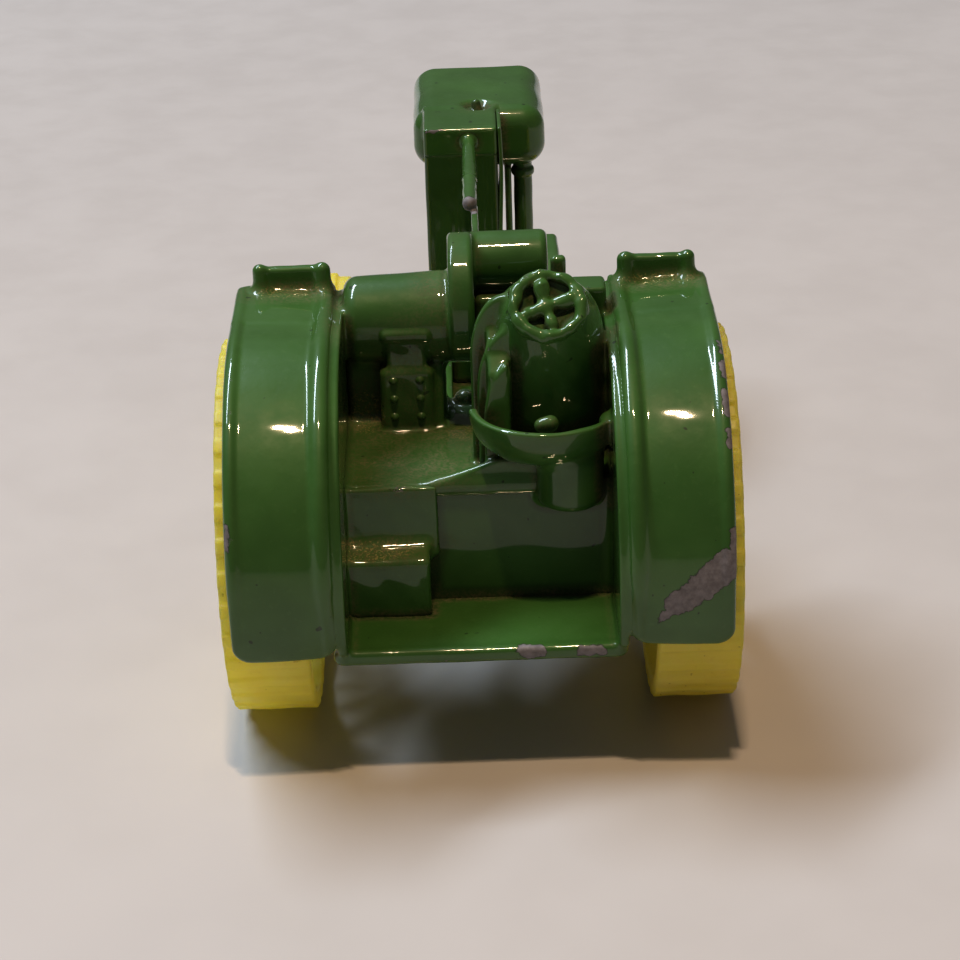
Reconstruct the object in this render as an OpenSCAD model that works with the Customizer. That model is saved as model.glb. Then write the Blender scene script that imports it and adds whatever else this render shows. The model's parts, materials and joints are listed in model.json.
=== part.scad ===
// Toy steel-wheeled farm tractor, scale 1:64: die-cast body, wide rear fenders,
// ridged yellow rear wheels, transverse fuel tank over the front axle.
// Millimetres. +Y runs from the driver's platform towards the fuel tank, +Z is up,
// the origin is on the ground under the middle of the overall box.

/* [Rear wheels] */
// Radius over the ridges of a rear wheel
rear_wheel_r = 10.3; // [9.8:0.1:10.4]
// Width of a rear wheel's rim
rear_wheel_w = 4.45; // [4:0.05:4.8]
// Distance from the centre line to a rear rim's inner edge
rear_wheel_in_x = 9.18; // [9:0.02:9.3]
// Number of cross ridges round a rear rim
ridge_count = 36; // [24:4:48]
// Height of a ridge
ridge_h = 0.3; // [0.1:0.05:0.35]
// Number of spokes in a rear wheel
rear_spokes = 12; // [8:1:14]

/* [Front wheels] */
// Radius of a front wheel over its guide band
front_wheel_r = 5.6; // [5:0.1:6]
// Width of a front wheel's rim
front_wheel_w = 2.4; // [2:0.1:2.8]
// Distance from the front end's centre line to a front rim's inner edge
front_wheel_in_x = 9.15; // [8.9:0.05:9.4]
// Number of spokes in a front wheel
front_spokes = 8; // [6:1:10]
// Distance between the front and rear axles
wheelbase = 35.5; // [35:0.1:36]
// How far the front end sits to the right of the rear's centre line
front_shift = 1.0; // [0:0.1:1]

/* [Axles] */
// Radius of both steel axles
axle_r = 0.6; // [0.5:0.05:0.7]
// Running clearance of a hub on its axle, on the radius
run_gap = 0.05; // [0.02:0.01:0.09]

/* [Fenders] */
// Distance from the centre line to a fender's inner edge
fender_in_x = 7.6; // [7.4:0.05:7.7]
// Distance from the centre line to a fender's outer edge
fender_out_x = 13.05; // [12.8:0.05:13.3]
// Air gap between the ridges and the inside of a fender
fender_gap = 0.45; // [0.35:0.05:0.6]
// Thickness of a fender's sheet
fender_t = 0.6; // [0.5:0.05:0.65]
// How far below the axle's level a fender reaches at the back, in degrees of arc
fender_low = 13.5; // [10:0.5:14]
// How far a fender's flat top runs ahead of the axle
fender_front_y = 7.3; // [7:0.1:8]

/* [Platform and deck] */
// Height of the driver's platform
floor_z = 7.5; // [7.2:0.1:7.8]
// Rear edge of the platform, behind the axle
floor_rear_y = 10.2; // [9.5:0.1:10.6]
// Thickness of the platform
floor_t = 0.8; // [0.6:0.1:1]
// Height of the deck that carries the engine
deck_z = 14.3; // [14:0.1:14.6]
// Rear edge of the deck, behind the axle
deck_rear_y = 4.2; // [4:0.1:4.4]

/* [Engine] */
// Radius of the transverse crankcase drum
drum_r = 2.6; // [2.4:0.1:2.7]
// Radius of the flywheel
flywheel_r = 3.6; // [3.4:0.1:3.7]
// Height of the crankcase drum's axis
crank_z = 19.95; // [19.8:0.05:20.1]
// Radius of the belt pulley
pulley_r = 1.65; // [1.4:0.05:1.8]

/* [Driver's place] */
// Half width of the steering pedestal
pedestal_r = 2.9; // [2.6:0.1:2.95]
// Radius of the steering wheel
steering_r = 2.1; // [1.8:0.1:2.3]
// Tilt of the steering wheel, degrees, its rear edge low
steering_tilt = 36; // [30:1:40]

/* [Tank and radiator] */
// Width of the fuel tank
tank_w = 8.5; // [7.8:0.1:8.8]
// Length of the fuel tank along the tractor
tank_l = 10.7; // [10:0.1:11]
// Height of the fuel tank
tank_h = 4; // [3.6:0.1:4.4]
// Height of the tank's top above the ground
tank_top_z = 24; // [23.6:0.1:24.4]

/* [Hidden] */

$fn = 64;
eps = 0.01;            // overshoot of a cutting tool past a face

green = [0.17, 0.33, 0.13];
yellow = [0.9, 0.75, 0.2];
steel = [0.62, 0.61, 0.6];

// overall length splits evenly about the origin
rear_reach = rear_wheel_r + fender_gap + fender_t;
tank_front_y = 41.7;
rear_axle_y = (rear_reach - tank_front_y) / 2;
rear_axle_z = rear_wheel_r;

crown_drop = 0.02;       // the flat top lies this far under the arc's crown
fender_ri = rear_wheel_r + fender_gap;
fender_ro = fender_ri + fender_t;
fender_top_z = rear_axle_z + fender_ro - crown_drop;
fender_wall_t = 0.5;
fender_lip = 0.9;
body_half_w = fender_in_x - fender_wall_t;
deck_t = 0.6;

rear_rim_t = 0.75;
rear_web_x = 2.75;      // rim's inner edge to the spokes' inner face
rear_web_t = 0.9;
rear_hub_r = 2;
rear_hub_out = 4.0;     // rim's inner edge to the hub's outer face
side_play = 0.15;       // end float between a hub and what holds it
head_t = 0.5;
head_r = 1.05;

front_rim_t = 0.6;
front_hub_r = 1.3;
front_hub_out = 2.2;

drum_y = 5.7;
drum_in_x = -1.26;      // flywheel's left face
flywheel_t = 1.4;
flywheel_z = 21.05;     // the flywheel stands higher than the drum beside it
flywheel_right_x = drum_in_x + flywheel_t;
block_front_y = 16;
block_rear_y = 5.6;
block_right_x = 5.2;
block_top_z = 21;
pulley_y = 7.5;
pulley_z = 22.5;

cover_x = -5.24;
cover_w = 3.0;
cover_y = 3.0;
cover_top_z = 17.9;

pedestal_x = 3.95;
pedestal_rear_y = -4.6;
pedestal_front_y = 0.5;
steering_y = -2.4;
steering_z = 23.5;

seat_x = 3.75;
seat_y = -2.6;
seat_r = 4.15;
seat_rim_z = 18.1;
seat_low_z = 15.3;

tank_x = front_shift - 0.15;
tank_rear_y = tank_front_y - tank_l;
radiator_rear_y = 27;
radiator_x = -2.66;
radiator_w = 4.6;
radiator_top_z = 22.2;

frame_x = front_shift - 0.1;    // middle of the frame
rail_x = 2.2;                   // from there to a rail's inner face
rail_w = 1.1;
rail_z = 10.6;
rail_h = 1.8;
rail_top_z = rail_z + rail_h;
rail_front_y = 37.8;
frame_left_x = frame_x - rail_x - rail_w;
frame_right_x = frame_x + rail_x + rail_w;
plate_t = 0.6;
plate_top_z = rail_top_z + plate_t;
beam_z = 4.6;
beam_h = 2;

// children placed from the rear axle's plan position, Z from the ground
module at(p) translate([p[0], p[1] + rear_axle_y, p[2]]) children();

// 2D outline in the YZ plane, pulled out along +X by w
module along_x(w) rotate([90, 0, 90]) linear_extrude(w) children();

// cylinder along +X
module rod_x(r, l) rotate([0, 90, 0]) cylinder(r = r, h = l);

// block given by its two corners
module block(a, b) at(a) cube([b[0] - a[0], b[1] - a[1], b[2] - a[2]]);

// ---- wheels and axles ----

// toothed circle: one flat-topped ridge per pitch
module ridged_outline(r, n, h) {
  pitch = 360 / n;
  top = 0.28;
  crest_r = r / cos(top * pitch);
  polygon([
    for (i = [0 : n - 1], k = [[-top, crest_r], [top, crest_r], [0.42, r - h], [0.58, r - h]])
      k[1] * [cos(90 + (i + k[0]) * pitch), sin(90 + (i + k[0]) * pitch)]
  ]);
}

// windows that leave n spokes between hub and rim, cut along +X
module spoke_windows(n, r_in, r_out, spoke_w, l) {
  along_x(l) difference() {
    circle(r_out);
    circle(r_in);
    for (i = [0 : n - 1])
      rotate(i * 360 / n + 90) translate([0, -spoke_w / 2]) square([r_out + 1, spoke_w]);
  }
}

// rear wheel with its inner edge on X = 0 and its outer side towards +X
module rear_wheel() {
  difference() {
    union() {
      difference() {
        along_x(rear_wheel_w) ridged_outline(rear_wheel_r, ridge_count, ridge_h);
        translate([-eps, 0, 0])
          rod_x(rear_wheel_r - ridge_h - rear_rim_t, rear_wheel_w + 2 * eps);
      }
      difference() {
        translate([rear_web_x, 0, 0]) rod_x(rear_wheel_r - ridge_h - rear_rim_t / 2, rear_web_t);
        translate([rear_web_x - eps, 0, 0])
          spoke_windows(rear_spokes, rear_hub_r + 0.7, rear_wheel_r - ridge_h - rear_rim_t - 0.4,
            0.85, rear_web_t + 2 * eps);
      }
      rod_x(rear_hub_r, rear_hub_out);
    }
    translate([-eps, 0, 0]) rod_x(axle_r + run_gap, rear_wheel_w + 1);
  }
}

// front wheel with its inner edge on X = 0 and its outer side towards +X
module front_wheel() {
  band_w = 0.6;
  difference() {
    union() {
      difference() {
        union() {
          rod_x(front_wheel_r - 0.25, front_wheel_w);
          translate([(front_wheel_w - band_w) / 2, 0, 0]) rod_x(front_wheel_r, band_w);
        }
        translate([-eps, 0, 0]) rod_x(front_wheel_r - 0.25 - front_rim_t, front_wheel_w + 1);
      }
      difference() {
        translate([1.2, 0, 0]) rod_x(front_wheel_r - 0.25 - front_rim_t / 2, 0.6);
        translate([1.2 - eps, 0, 0])
          spoke_windows(front_spokes, front_hub_r + 0.4, front_wheel_r - front_rim_t - 0.5,
            0.6, 0.6 + 2 * eps);
      }
      rod_x(front_hub_r, front_hub_out);
    }
    translate([-eps, 0, 0]) rod_x(axle_r + run_gap, front_wheel_w + 1);
  }
}

// steel axle along X with a domed head pressed on each end
module headed_axle(half_l) {
  shank = half_l - head_t;
  translate([-shank, 0, 0]) rod_x(axle_r, 2 * shank);
  for (s = [0, 1])
    mirror([s, 0, 0]) translate([half_l - head_t, 0, 0]) {
      rod_x(head_r, head_t / 2);
      translate([head_t / 2, 0, 0]) rotate([0, 90, 0])
        cylinder(r1 = head_r, r2 = head_r / 2, h = head_t / 2);
    }
}

rear_half_axle = rear_wheel_in_x + rear_hub_out + side_play + head_t;
front_half_axle = front_wheel_in_x + front_hub_out + side_play + head_t;

module rear_wheel_right() color(yellow) at([rear_wheel_in_x, 0, rear_axle_z]) rear_wheel();
module rear_wheel_left() color(yellow)
  at([-rear_wheel_in_x, 0, rear_axle_z]) mirror([1, 0, 0]) rear_wheel();
module front_wheel_right() color(yellow)
  at([front_shift + front_wheel_in_x, wheelbase, front_wheel_r]) front_wheel();
module front_wheel_left() color(yellow)
  at([front_shift - front_wheel_in_x, wheelbase, front_wheel_r]) mirror([1, 0, 0]) front_wheel();
module rear_axle() color(steel) at([0, 0, rear_axle_z]) headed_axle(rear_half_axle);
module front_axle() color(steel)
  at([front_shift, wheelbase, front_wheel_r]) headed_axle(front_half_axle);

// ---- fenders ----

// sheet from behind the wheel over its top and flat forward to a turned-down lip, about the axle
module fender_outline(ri, ro) {
  far = 2 * ro;
  inside_crown = 0.2;
  difference() {
    union() {
      intersection() {
        circle(ro, $fn = 128);
        polygon([[0, 0], [2, 0], [2, far], [-far, far], [-far, -far * tan(fender_low)]]);
      }
      translate([inside_crown, ri - fender_lip])
        square([fender_front_y - inside_crown, ro - ri + fender_lip - crown_drop]);
    }
    circle(ri, $fn = 128);
    translate([inside_crown, 0])
      square([fender_front_y - inside_crown - fender_t, ri - crown_drop]);
  }
}

// fender cover with its inner edge on X = 0, reaching towards +X
module fender_cover() along_x(fender_out_x - fender_in_x) fender_outline(fender_ri, fender_ro);

// upright wall between a fender and the deck, its inner face on X = 0
module fender_side() {
  low = floor_z - rear_axle_z;
  difference() {
    along_x(fender_wall_t) {
      intersection() {
        circle(fender_ro, $fn = 128);
        translate([-2 * fender_ro, low]) square([2 * fender_ro, 3 * fender_ro]);
      }
      translate([-eps, low]) square([fender_front_y + eps, fender_ro - low]);
    }
    translate([-1, 0, 0]) rod_x(axle_r, 3);
  }
}

// bearing boss between that wall and the wheel's hub, from X = 0 outwards
module axle_boss() {
  l = rear_wheel_in_x - side_play - fender_in_x;
  difference() {
    rod_x(1.7, l);
    translate([-eps, 0, 0]) rod_x(axle_r, l + 2 * eps);
  }
}

// low transverse bar with an upright knob at each end
module fender_bracket() {
  w = 4.35;
  translate([0, 0, 0]) cube([w, 0.8, 0.75]);
  for (x = [0.4, w - 0.4]) translate([x, 0.4, 0.6]) {
    cylinder(r = 0.4, h = 0.4);
    translate([0, 0, 0.4]) sphere(r = 0.4);
  }
}

module fender_right() color(green) at([fender_in_x, 0, rear_axle_z]) fender_cover();
module fender_left() color(green)
  at([-fender_in_x, 0, rear_axle_z]) mirror([1, 0, 0]) fender_cover();
module fender_side_right() color(green) at([body_half_w, 0, rear_axle_z]) fender_side();
module fender_side_left() color(green)
  at([-body_half_w, 0, rear_axle_z]) mirror([1, 0, 0]) fender_side();
module axle_boss_right() color(green) at([fender_in_x, 0, rear_axle_z]) axle_boss();
module axle_boss_left() color(green)
  at([-fender_in_x, 0, rear_axle_z]) mirror([1, 0, 0]) axle_boss();
module fender_bracket_right() color(green)
  at([fender_in_x + 0.55, 6.4, fender_top_z]) fender_bracket();
module fender_bracket_left() color(green)
  at([-fender_in_x - 0.55, 6.4, fender_top_z]) mirror([1, 0, 0]) fender_bracket();

// ---- platform, deck and frame ----

module floor_plate() color(green)
  block([-fender_in_x, -floor_rear_y, floor_z - floor_t], [fender_in_x, -deck_rear_y + 1, floor_z]);

module rear_wall() color(green)
  block([-body_half_w, -deck_rear_y, floor_z], [body_half_w, -deck_rear_y + deck_t, deck_z - deck_t]);

// deck with a hole ahead of the flywheel
module deck_plate() color(green) difference() {
  block([-body_half_w, -deck_rear_y, deck_z - deck_t], [body_half_w, fender_front_y, deck_z]);
  block([drum_in_x - 0.1, drum_y + 1, deck_z - 1], [flywheel_right_x, fender_front_y + 1, deck_z + 1]);
}

step_w = 4.4;
step_depth = 1.9;
step_top_z = 10.7;
riser_t = 0.2;
module step_box() color(green) {
  block([-body_half_w, -deck_rear_y - step_depth, floor_z],
    [-body_half_w + step_w, -deck_rear_y, step_top_z]);
  block([-body_half_w, -deck_rear_y - riser_t, step_top_z],
    [-body_half_w + step_w + 0.5, -deck_rear_y, deck_z]);
}

// rail notched underneath where the rear axle passes
module frame_rail(x) color(green) difference() {
  block([x, -deck_rear_y + deck_t, rail_z], [x + rail_w, rail_front_y, rail_top_z]);
  at([x - 1, 0, rear_axle_z]) rod_x(axle_r + run_gap, rail_w + 2);
}
module frame_rail_right() frame_rail(frame_x + rail_x);
module frame_rail_left() frame_rail(frame_left_x);

module front_cross_plate() color(green)
  block([frame_left_x, radiator_rear_y - 0.6, rail_top_z],
    [frame_right_x, rail_front_y, plate_top_z]);

// cover plate under the body between the rails, held by two rivets
rivet_r = 0.5;
rivet_l = 1.2;
rivet_ys = [19, 29];
base_t = 0.6;
base_ys = [12, 33];
module base_plate() color(green) difference() {
  block([frame_left_x, base_ys[0], rail_z - base_t], [frame_right_x, base_ys[1], rail_z]);
  for (y = rivet_ys) at([frame_x, y, rail_z - 1]) cylinder(r = rivet_r, h = 2);
}
module frame_cross_members() color(green) for (y = rivet_ys) difference() {
  block([frame_x - rail_x, y - 0.9, rail_z], [frame_x + rail_x, y + 0.9, rail_top_z]);
  at([frame_x, y, rail_z - 1]) cylinder(r = rivet_r, h = 1 + rivet_l);
}
module base_rivets() color(steel) for (y = rivet_ys) at([frame_x, y, rail_z - base_t]) {
  cylinder(r = rivet_r, h = base_t + rivet_l);
  translate([0, 0, -0.25]) cylinder(r = 0.9, h = 0.25);
}

module front_bolster() color(green) {
  at([front_shift, wheelbase, beam_z + beam_h]) cylinder(r = 1.8, h = rail_z - beam_z - beam_h);
  block([frame_x - rail_x, wheelbase - 1.8, rail_z], [frame_x + rail_x, wheelbase + 1.8, rail_top_z]);
}
module front_axle_beam() color(green) difference() {
  half = front_wheel_in_x - side_play;
  block([front_shift - half, wheelbase - 1, beam_z], [front_shift + half, wheelbase + 1, beam_z + beam_h]);
  at([front_shift - half - 1, wheelbase, front_wheel_r]) rod_x(axle_r, 2 * half + 2);
}

// ---- engine ----

module crank_cylinder(r, x0, x1) at([x0, drum_y, crank_z]) rod_x(r, x1 - x0);

module crankcase_drum() color(green) {
  round_r = 0.6;
  crank_cylinder(drum_r, -body_half_w + round_r, drum_in_x);
  at([-body_half_w, drum_y, crank_z]) rotate([0, 90, 0])
    cylinder(r1 = drum_r - round_r, r2 = drum_r, h = round_r);
}
module drum_saddle() color(green) difference() {
  block([-body_half_w, drum_y - 1.2, deck_z], [-1.6, drum_y + 1.6, crank_z - 1.2]);
  crank_cylinder(drum_r, -body_half_w - 1, 1);
}
module flywheel() color(green)
  at([drum_in_x, drum_y, flywheel_z]) rod_x(flywheel_r, flywheel_t);

module drum_gusset() color(green) difference() {
  at([cover_x + cover_w, cover_y + 0.3, deck_z]) along_x(0.6)
    polygon([[0, 0], [2.2, 0], [2.2, 4.6], [0.6, 4.6]]);
  crank_cylinder(drum_r, -body_half_w - 1, 1);
  block([-body_half_w, drum_y - 1.2, deck_z - 1], [-1.6, drum_y + 1.6, crank_z]);
}

// riveted box with a narrower neck and a collar against the drum
module gear_cover() color(green) difference() {
  union() {
    block([cover_x, cover_y, deck_z], [cover_x + cover_w, drum_y - 1.2, cover_top_z]);
    block([cover_x + 0.45, cover_y + 0.2, cover_top_z], [cover_x + cover_w - 0.4, drum_y - 1.2, 19.6]);
    block([cover_x + 0.3, cover_y, 19.6], [cover_x + cover_w - 0.2, drum_y - 1.2, 20.1]);
  }
  crank_cylinder(drum_r, -body_half_w - 1, 1);
}
module gear_cover_rivets() color(green)
  for (x = [0.75, 2.25], z = [15.1, 16.2, 17.3])
    at([cover_x + x, cover_y, z]) rotate([90, 0, 0]) cylinder(r1 = 0.22, r2 = 0.14, h = 0.16);

module engine_block() color(green) difference() {
  block([flywheel_right_x, block_rear_y, rail_top_z], [block_right_x, block_front_y, block_top_z]);
  block([flywheel_right_x - 1, block_rear_y - 1, deck_z - deck_t], [block_right_x + 1, fender_front_y, deck_z]);
  at([-1, pulley_y, pulley_z]) rod_x(pulley_r, 10);
}
module belt_pulley() color(green) {
  edge = 0.3;
  l = 4.15;
  at([flywheel_right_x, pulley_y, pulley_z]) rod_x(pulley_r, l - edge);
  at([flywheel_right_x + l - edge, pulley_y, pulley_z]) rotate([0, 90, 0])
    cylinder(r1 = pulley_r, r2 = pulley_r - edge, h = edge);
}

// ---- driver's place ----

module pedestal_column() at([pedestal_x, 0, deck_z]) linear_extrude(12) {
  c = 1.4;
  l = pedestal_front_y - pedestal_rear_y;
  translate([c - pedestal_r, pedestal_rear_y]) square([2 * (pedestal_r - c), l]);
  translate([-pedestal_r, pedestal_rear_y + c]) square([2 * pedestal_r, l - 2 * c]);
  for (x = [c - pedestal_r, pedestal_r - c], y = [pedestal_rear_y + c, pedestal_front_y - c])
    translate([x, y]) circle(c);
}

// half space under the steering wheel's plane
module under_wheel_plane() at([pedestal_x, steering_y, steering_z])
  rotate([steering_tilt, 0, 0]) translate([-10, -20, -30]) cube([20, 40, 30]);

module steering_pedestal() color(green) {
  intersection() {
    pedestal_column();
    under_wheel_plane();
  }
}

// rim, hub and four spokes, its flat back on Z = 0
module steering_wheel() color(green)
  at([pedestal_x, steering_y, steering_z]) rotate([steering_tilt, 0, 0]) {
    rim_r = 0.3;
    rotate_extrude() translate([steering_r - rim_r, rim_r]) circle(rim_r, $fn = 24);
    rotate_extrude() translate([steering_r - 2 * rim_r, 0]) square([2 * rim_r, rim_r]);
    cylinder(r = 0.5, h = 0.5);
    for (a = [45 : 90 : 315])
      rotate(a) translate([0, -0.22, 0]) cube([steering_r - rim_r, 0.44, 0.4]);
  }

module throttle_lever() color(green) {
  block([pedestal_x + 0.3, pedestal_front_y, deck_z],
    [pedestal_x + 1.1, pedestal_front_y + 0.6, 25.1]);
}

// three quadrant levers beside the pedestal, each taller than the one behind it
lever_ys = [-3.7, -2.6, -1.5];
lever_tops = [20.5, 21.8, 23.4];
lever_t = 0.7;
lever_r = 1.4;
module control_levers() color(green) difference() {
  for (i = [0 : len(lever_ys) - 1]) {
    x = 0.45 - 0.32 * i;
    y = lever_ys[i];
    shoulder_z = lever_tops[i] - lever_r;
    block([x, y, deck_z], [pedestal_x, y + lever_t, shoulder_z]);
    at([x + lever_r, y, shoulder_z]) rotate([-90, 0, 0]) cylinder(r = lever_r, h = lever_t);
    block([x + lever_r, y, shoulder_z - 1], [pedestal_x, y + lever_t, lever_tops[i]]);
  }
  pedestal_column();
}

// rear half of a shallow bowl, wrapped round the pedestal
module seat_pan() color(green) difference() {
  intersection() {
    at([seat_x, seat_y, seat_low_z])
      cylinder(r1 = seat_r - 1.25, r2 = seat_r, h = seat_rim_z - seat_low_z);
    block([-1, seat_y - seat_r - 1, seat_low_z], [body_half_w, seat_y - 1.2, seat_rim_z]);
  }
  pedestal_column();
  at([seat_x, seat_y, seat_rim_z - 0.5]) cylinder(r1 = seat_r - 0.9, r2 = seat_r - 0.4, h = 1);
}

// half-round post behind the wall under the seat
module seat_post() color(green) {
  post_r = 1.8;
  low_z = 13.9;
  difference() {
    at([4.9, -deck_rear_y, low_z]) {
      cylinder(r = post_r, h = seat_low_z - low_z);
      scale([1, 1, 0.4]) sphere(r = post_r);
    }
    block([0, -deck_rear_y, low_z - 2], [10, 0, deck_z]);
    pedestal_column();
    block([0, -deck_rear_y, deck_z - eps], [10, 0, seat_low_z + 1]);
  }
}

// small box between the pedestal and the right fender
module toolbox() color(green)
  block([5.4, 2.4, deck_z], [body_half_w, 4.4, 22.6]);

// ---- tank and radiator ----

module radiator_core() color(green)
  block([radiator_x, radiator_rear_y, plate_top_z],
    [radiator_x + radiator_w, tank_rear_y, radiator_top_z]);
module radiator_top() color(green)
  block([radiator_x, radiator_rear_y, radiator_top_z],
    [radiator_x + radiator_w, tank_rear_y, tank_top_z]);
module radiator_side_plate() color(green)
  block([radiator_x + radiator_w, radiator_rear_y, plate_top_z],
    [radiator_x + radiator_w + 0.25, tank_rear_y, tank_top_z]);

cap_x = 0.8;
cap_y = 32;
module filler_cap() color(green) at([cap_x, cap_y, tank_top_z]) {
  cylinder(r = 0.6, h = 0.25);
}

// rounded tank lying along the tractor
module fuel_tank() color(green) {
  c = 1.3;
  at([tank_x, tank_front_y, tank_top_z - tank_h]) rotate([90, 0, 0]) linear_extrude(tank_l) {
    translate([-tank_w / 2 + c, 0]) square([tank_w - 2 * c, tank_h]);
    translate([-tank_w / 2, c]) square([tank_w, tank_h - 2 * c]);
    for (x = [-1, 1], z = [c, tank_h - c]) translate([x * (tank_w / 2 - c), z]) circle(c);
  }
}

leg_x = 2.4;
module tank_leg() color(green) {
  block([leg_x, tank_rear_y + 0.3, plate_top_z], [leg_x + 0.45, tank_rear_y + 6, tank_top_z - tank_h]);
}
module water_pipe() color(green) {
  at([leg_x + 1.2, tank_rear_y + 1.2, plate_top_z])
    cylinder(r = 0.6, h = tank_top_z - tank_h - plate_top_z);
  at([leg_x + 1.2, tank_rear_y + 1.2, tank_top_z - tank_h - 0.8]) cylinder(r = 0.75, h = 0.8);
}

// round rod from the radiator back towards the engine
rod_r = 0.42;
rod_tip_y = 15.4;
rod_z = 23.1;
module governor_rod() color(green) at([0.1, rod_tip_y, rod_z]) {
  sphere(r = rod_r);
  rotate([-90, 0, 0]) cylinder(r = rod_r, h = radiator_rear_y - rod_tip_y);
}
module rod_web() color(green)
  block([flywheel_right_x, pulley_y + pulley_r + 0.1, block_top_z],
    [flywheel_right_x + 0.4, block_front_y, rod_z - rod_r - 0.05]);

frame_rail_left();
frame_rail_right();
frame_cross_members();
front_cross_plate();
floor_plate();
rear_wall();
deck_plate();
step_box();
fender_left();
fender_right();
fender_side_left();
fender_side_right();
axle_boss_left();
axle_boss_right();
fender_bracket_left();
fender_bracket_right();
gear_cover();
gear_cover_rivets();
drum_saddle();
crankcase_drum();
drum_gusset();
flywheel();
engine_block();
belt_pulley();
steering_pedestal();
steering_wheel();
throttle_lever();
control_levers();
seat_pan();
seat_post();
radiator_core();
radiator_top();
radiator_side_plate();
filler_cap();
fuel_tank();
tank_leg();
water_pipe();
governor_rod();
rod_web();
toolbox();
base_plate();
base_rivets();
front_bolster();
front_axle_beam();
front_axle();
rear_axle();
rear_wheel_left();
rear_wheel_right();
front_wheel_left();
front_wheel_right();
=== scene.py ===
import json
import math

import bpy
import numpy as np
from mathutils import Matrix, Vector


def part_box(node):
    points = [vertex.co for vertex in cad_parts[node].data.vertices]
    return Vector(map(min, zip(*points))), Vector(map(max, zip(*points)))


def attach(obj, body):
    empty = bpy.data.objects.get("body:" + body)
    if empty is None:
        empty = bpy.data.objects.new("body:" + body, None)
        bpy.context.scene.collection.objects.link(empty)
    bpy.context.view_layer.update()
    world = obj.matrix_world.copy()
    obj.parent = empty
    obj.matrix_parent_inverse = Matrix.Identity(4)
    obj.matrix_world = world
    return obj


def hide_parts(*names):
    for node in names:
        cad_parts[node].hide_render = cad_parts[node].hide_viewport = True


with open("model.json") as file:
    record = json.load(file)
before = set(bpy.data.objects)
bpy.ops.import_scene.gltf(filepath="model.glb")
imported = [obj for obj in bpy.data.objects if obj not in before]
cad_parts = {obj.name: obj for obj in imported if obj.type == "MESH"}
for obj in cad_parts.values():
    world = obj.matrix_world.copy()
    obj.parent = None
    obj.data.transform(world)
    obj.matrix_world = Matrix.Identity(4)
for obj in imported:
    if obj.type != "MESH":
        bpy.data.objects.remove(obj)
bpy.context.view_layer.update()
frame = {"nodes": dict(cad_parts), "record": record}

import openvdb
from mathutils import Matrix, Vector

# The castings are built as distance fields in millimetres, with Y measured from the rear axle and Z
# from the ground, then meshed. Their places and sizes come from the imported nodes' boxes.
MM = 0.001
AXLE_LO, AXLE_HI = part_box("rear_axle")
AXLE_Y = (AXLE_LO.y + AXLE_HI.y) / 2
AXLE_Z = (AXLE_LO.z + AXLE_HI.z) / 2 / MM
ORIGIN = np.array([0.0, AXLE_Y / MM, 0.0])


def box_mm(*nodes):
    """lowest and highest corner of CAD nodes together, mm from the rear axle's plan position"""
    lo = np.min([np.array(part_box(n)[0]) for n in nodes], axis=0) / MM - ORIGIN
    hi = np.max([np.array(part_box(n)[1]) for n in nodes], axis=0) / MM - ORIGIN
    return lo, hi


# ---------------------------------------------------------------- distance fields
def smin(a, b, k):
    h = np.maximum(k - np.abs(a - b), 0) / k
    return np.minimum(a, b) - h * h * k / 4


def smax(a, b, k):
    return -smin(-a, -b, k)


def combine(parts, r):
    """intersection of distances with the corner between them rounded by r"""
    q = [p + r for p in parts]
    worst = q[0]
    out = np.maximum(q[0], 0) ** 2
    for w in q[1:]:
        worst = np.maximum(worst, w)
        out = out + np.maximum(w, 0) ** 2
    return np.minimum(worst, 0) + np.sqrt(out) - r


def rbox(p, lo, hi, r):
    return combine([np.abs(p[i] - (lo[i] + hi[i]) / 2) - (hi[i] - lo[i]) / 2 for i in range(3)], r)


def slab(a, lo, hi):
    return np.abs(a - (lo + hi) / 2) - (hi - lo) / 2


def capsule(p, a, b, r, r2=None):
    r2 = r if r2 is None else r2
    a, b = np.array(a, float), np.array(b, float)
    d = b - a
    t = sum((p[i] - a[i]) * d[i] for i in range(3)) / max(float(d @ d), 1e-9)
    t = np.clip(t, 0, 1)
    return np.sqrt(sum((p[i] - a[i] - t * d[i]) ** 2 for i in range(3))) - (r + (r2 - r) * t)


def ball(p, c, r):
    return np.sqrt(sum((p[i] - c[i]) ** 2 for i in range(3))) - r


def cyl(p, axis, c, r, lo, hi, rnd):
    """cylinder along an axis through c between lo and hi"""
    i, j = [k for k in range(3) if k != axis]
    rad = np.sqrt((p[i] - c[i]) ** 2 + (p[j] - c[j]) ** 2)
    return combine([rad - r, slab(p[axis], lo, hi)], rnd)


def wave(p, size, seed):
    """smooth unevenness from -1 to 1 with features about size mm across"""
    k = 2 * math.pi / size
    x, y, z = (c + 7.3 * seed for c in p)
    return (np.sin(k * (0.83 * x + 0.41 * y + 0.37 * z)) * np.cos(k * (0.29 * x - 0.71 * y + 0.64 * z))
            + np.sin(k * (0.47 * z - 0.62 * x) + 2.1) * np.cos(k * (0.93 * y + 0.21 * z) + 0.6)) / 2


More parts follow.
